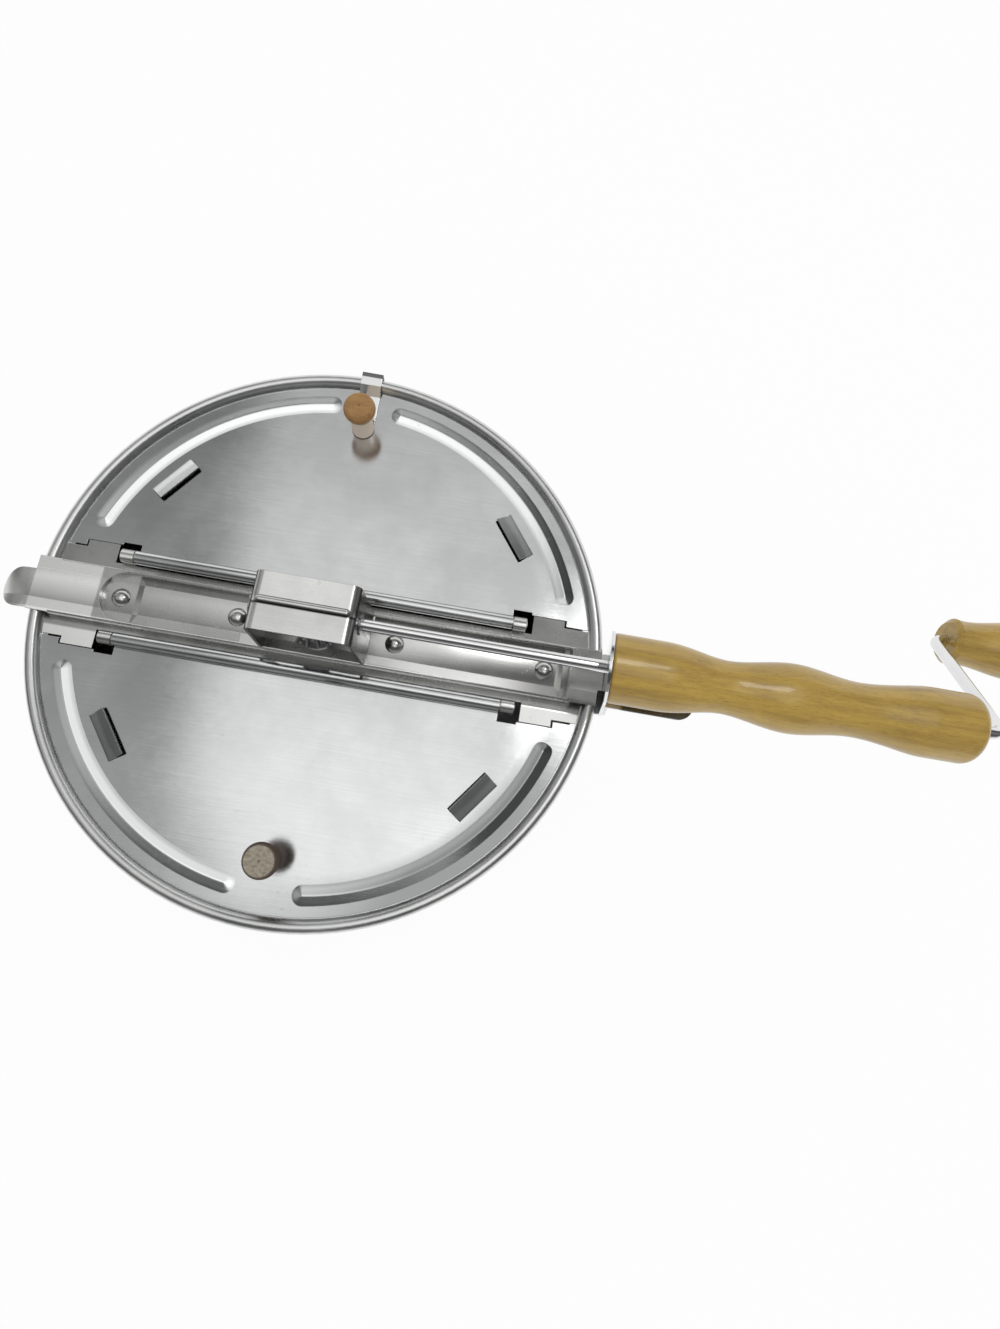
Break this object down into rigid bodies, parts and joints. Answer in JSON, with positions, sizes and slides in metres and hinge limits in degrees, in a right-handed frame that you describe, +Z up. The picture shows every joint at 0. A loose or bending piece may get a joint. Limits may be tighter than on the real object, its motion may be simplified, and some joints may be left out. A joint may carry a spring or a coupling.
{
  "type": "stovetop popcorn popper",
  "caption": "Straight-sided aluminium pan with two half lids hinged on a middle bridge, a geared stirrer and a hand crank that runs through a turned wooden handle.",
  "frame": {"origin": "centre of the pan's flat underside", "axes": "+Z up out of the pan's mouth, +X from the pan along the wooden handle to the crank, +Y towards the half lid with the rim clip"},
  "size_m": [0.4616, 0.2424, 0.1792],
  "materials": {
    "pan_metal": "spun, satin",
    "lid_metal": "brushed, lightly worn",
    "bridge_metal": "plated, satin",
    "housing_metal": "brushed",
    "polished_steel": "polished",
    "rivet_metal": "bright",
    "fastener_steel": "plated",
    "gear_steel": "cast, machined teeth",
    "bush_steel": "turned, oiled",
    "handle_wood": "varnished",
    "knob_wood": "worn varnish, bare end grain"
  },
  "bodies": {
    "pan": {"pan": "pan_metal", "handle_bracket": "housing_metal", "bracket_end_plate": "housing_metal", "bracket_rivets": "rivet_metal", "handle_grip": "handle_wood", "grip_screws": "fastener_steel", "hinge_strip": "bridge_metal", "bridge_channel": "bridge_metal", "bridge_rivets": "rivet_metal", "hinge_wire_north": "polished_steel", "hinge_wire_south": "polished_steel", "gear_housing": "housing_metal", "rod_bushes": "bush_steel", "shaft_bush": "bush_steel"},
    "crank": {"crank_rod": "polished_steel", "crank_gear": "gear_steel", "crank_gear_pin": "fastener_steel", "rod_push_nut": "fastener_steel", "knob_push_nut": "fastener_steel"},
    "crank_knob": {"crank_knob": "handle_wood"},
    "stirrer": {"stirrer_shaft": "polished_steel", "stirrer_gear": "gear_steel", "stirrer_gear_pin": "fastener_steel", "shaft_clip": "polished_steel", "stir_wire": "polished_steel"},
    "lid_north": {"lid_north": "lid_metal", "lid_knob_north": "knob_wood", "knob_screw_north": "fastener_steel", "rim_clip": "polished_steel"},
    "lid_south": {"lid_south": "lid_metal", "lid_knob_south": "knob_wood", "knob_screw_south": "fastener_steel"}
  },
  "joints": [
    {"name": "crank_turn", "type": "hinge", "parent": "pan", "child": "crank", "pos_m": [0, 0, 0.165], "axis": [1, 0, 0], "continuous": true},
    {"name": "crank_knob_spin", "type": "hinge", "parent": "crank", "child": "crank_knob", "pos_m": [0.3, 0.05, 0.12], "axis": [1, 0, 0], "continuous": true},
    {"name": "stirrer_turn", "type": "hinge", "parent": "pan", "child": "stirrer", "pos_m": [0, 0, 0.1], "axis": [0, 0, 1], "continuous": true},
    {"name": "lid_north_hinge", "type": "hinge", "parent": "pan", "child": "lid_north", "pos_m": [0, 0.018, 0.1397], "axis": [1, 0, 0], "range_deg": [0, 85]},
    {"name": "lid_south_hinge", "type": "hinge", "parent": "pan", "child": "lid_south", "pos_m": [0, -0.018, 0.1397], "axis": [-1, 0, 0], "range_deg": [0, 85]}
  ],
  "couplings": [
    {"joint": "stirrer_turn", "follows": "crank_turn", "ratio": 1}
  ]
}
